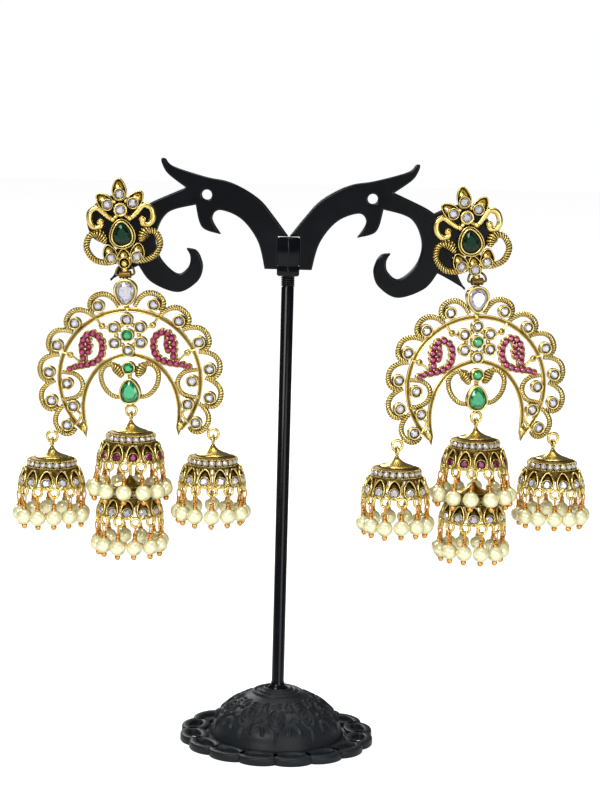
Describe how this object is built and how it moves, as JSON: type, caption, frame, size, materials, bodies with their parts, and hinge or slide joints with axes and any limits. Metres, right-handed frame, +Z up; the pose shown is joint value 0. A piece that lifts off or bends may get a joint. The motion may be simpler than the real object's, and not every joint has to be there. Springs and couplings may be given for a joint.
{
  "type": "pair of jhumka earrings on a display stand",
  "caption": "Pierced crescent earrings with set stones and swinging pearl-fringed bells, hung by stud posts on a black scroll-armed stand with a domed scalloped foot.",
  "frame": {"origin": "middle of the stand's flat underside", "axes": "+Z up the pole, -Y towards the viewer, X along the arms"},
  "size_m": [0.1494, 0.0508, 0.1508],
  "materials": {
    "stand_plastic": "satin black",
    "gold": "antique gold with dark recesses",
    "emerald": "cut and polished",
    "crystal": "cut and polished",
    "ruby": "cut and polished, set close together",
    "pearl": "cream pearl on gold wire"
  },
  "bodies": {
    "stand": {"stand_base": "stand_plastic", "stand_pole": "stand_plastic", "stand_hub": "stand_plastic", "stand_arm_left": "stand_plastic", "stand_arm_right": "stand_plastic", "left_stud": "gold", "left_stud_emerald": "emerald", "left_clutch": "gold", "right_stud": "gold", "right_stud_emerald": "emerald", "right_clutch": "gold"},
    "left_chand": {"left_crescent": "gold", "left_crown_diamond": "crystal", "left_flower_emerald": "emerald", "left_pendant_emerald_round": "emerald", "left_pendant_emerald_pear": "emerald", "left_ruby_left": "ruby", "left_ruby_right": "ruby"},
    "left_bell_left": {"left_bell_left": "gold", "left_fringe_left": "pearl"},
    "left_bell_right": {"left_bell_right": "gold", "left_fringe_right": "pearl"},
    "left_bell_upper": {"left_bell_upper": "gold", "left_fringe_upper": "pearl"},
    "left_bell_lower": {"left_bell_lower": "gold", "left_fringe_lower": "pearl"},
    "right_chand": {"right_crescent": "gold", "right_crown_diamond": "crystal", "right_flower_emerald": "emerald", "right_pendant_emerald_round": "emerald", "right_pendant_emerald_pear": "emerald", "right_ruby_left": "ruby", "right_ruby_right": "ruby"},
    "right_bell_left": {"right_bell_left": "gold", "right_fringe_left": "pearl"},
    "right_bell_right": {"right_bell_right": "gold", "right_fringe_right": "pearl"},
    "right_bell_upper": {"right_bell_upper": "gold", "right_fringe_upper": "pearl"},
    "right_bell_lower": {"right_bell_lower": "gold", "right_fringe_lower": "pearl"}
  },
  "joints": [
    {"name": "left_chand_swing", "type": "hinge", "parent": "stand", "child": "left_chand", "pos_m": [-0.0412, -0.0031, 0.12104], "axis": [-0.9908, 0.1217, -0.0593], "range_deg": [-8, 60]},
    {"name": "left_left_swing", "type": "hinge", "parent": "left_chand", "child": "left_bell_left", "pos_m": [-0.05958, -0.00084, 0.07732], "axis": [-0.9925, 0.1219, 0], "range_deg": [-35, 35]},
    {"name": "left_right_swing", "type": "hinge", "parent": "left_chand", "child": "left_bell_right", "pos_m": [-0.01797, -0.00595, 0.07981], "axis": [-0.9925, 0.1219, 0], "range_deg": [-35, 35]},
    {"name": "left_upper_swing", "type": "hinge", "parent": "left_chand", "child": "left_bell_upper", "pos_m": [-0.03915, -0.00335, 0.08495], "axis": [-0.9925, 0.1219, 0], "range_deg": [-35, 35]},
    {"name": "left_lower_swing", "type": "hinge", "parent": "left_bell_upper", "child": "left_bell_lower", "pos_m": [-0.03915, -0.00335, 0.07765], "axis": [-0.9925, 0.1219, 0], "range_deg": [-3, 3]},
    {"name": "right_chand_swing", "type": "hinge", "parent": "stand", "child": "right_chand", "pos_m": [0.04797, -0.0031, 0.12159], "axis": [-0.9698, -0.2418, -0.0314], "range_deg": [-8, 60]},
    {"name": "right_left_swing", "type": "hinge", "parent": "right_chand", "child": "right_bell_left", "pos_m": [0.02885, -0.00787, 0.0784], "axis": [-0.9703, -0.2419, 0], "range_deg": [-35, 35]},
    {"name": "right_right_swing", "type": "hinge", "parent": "right_chand", "child": "right_bell_right", "pos_m": [0.06959, 0.00229, 0.07972], "axis": [-0.9703, -0.2419, 0], "range_deg": [-35, 35]},
    {"name": "right_upper_swing", "type": "hinge", "parent": "right_chand", "child": "right_bell_upper", "pos_m": [0.04903, -0.00284, 0.08546], "axis": [-0.9703, -0.2419, 0], "range_deg": [-35, 35]},
    {"name": "right_lower_swing", "type": "hinge", "parent": "right_bell_upper", "child": "right_bell_lower", "pos_m": [0.04903, -0.00284, 0.07816], "axis": [-0.9703, -0.2419, 0], "range_deg": [-3, 3]}
  ]
}
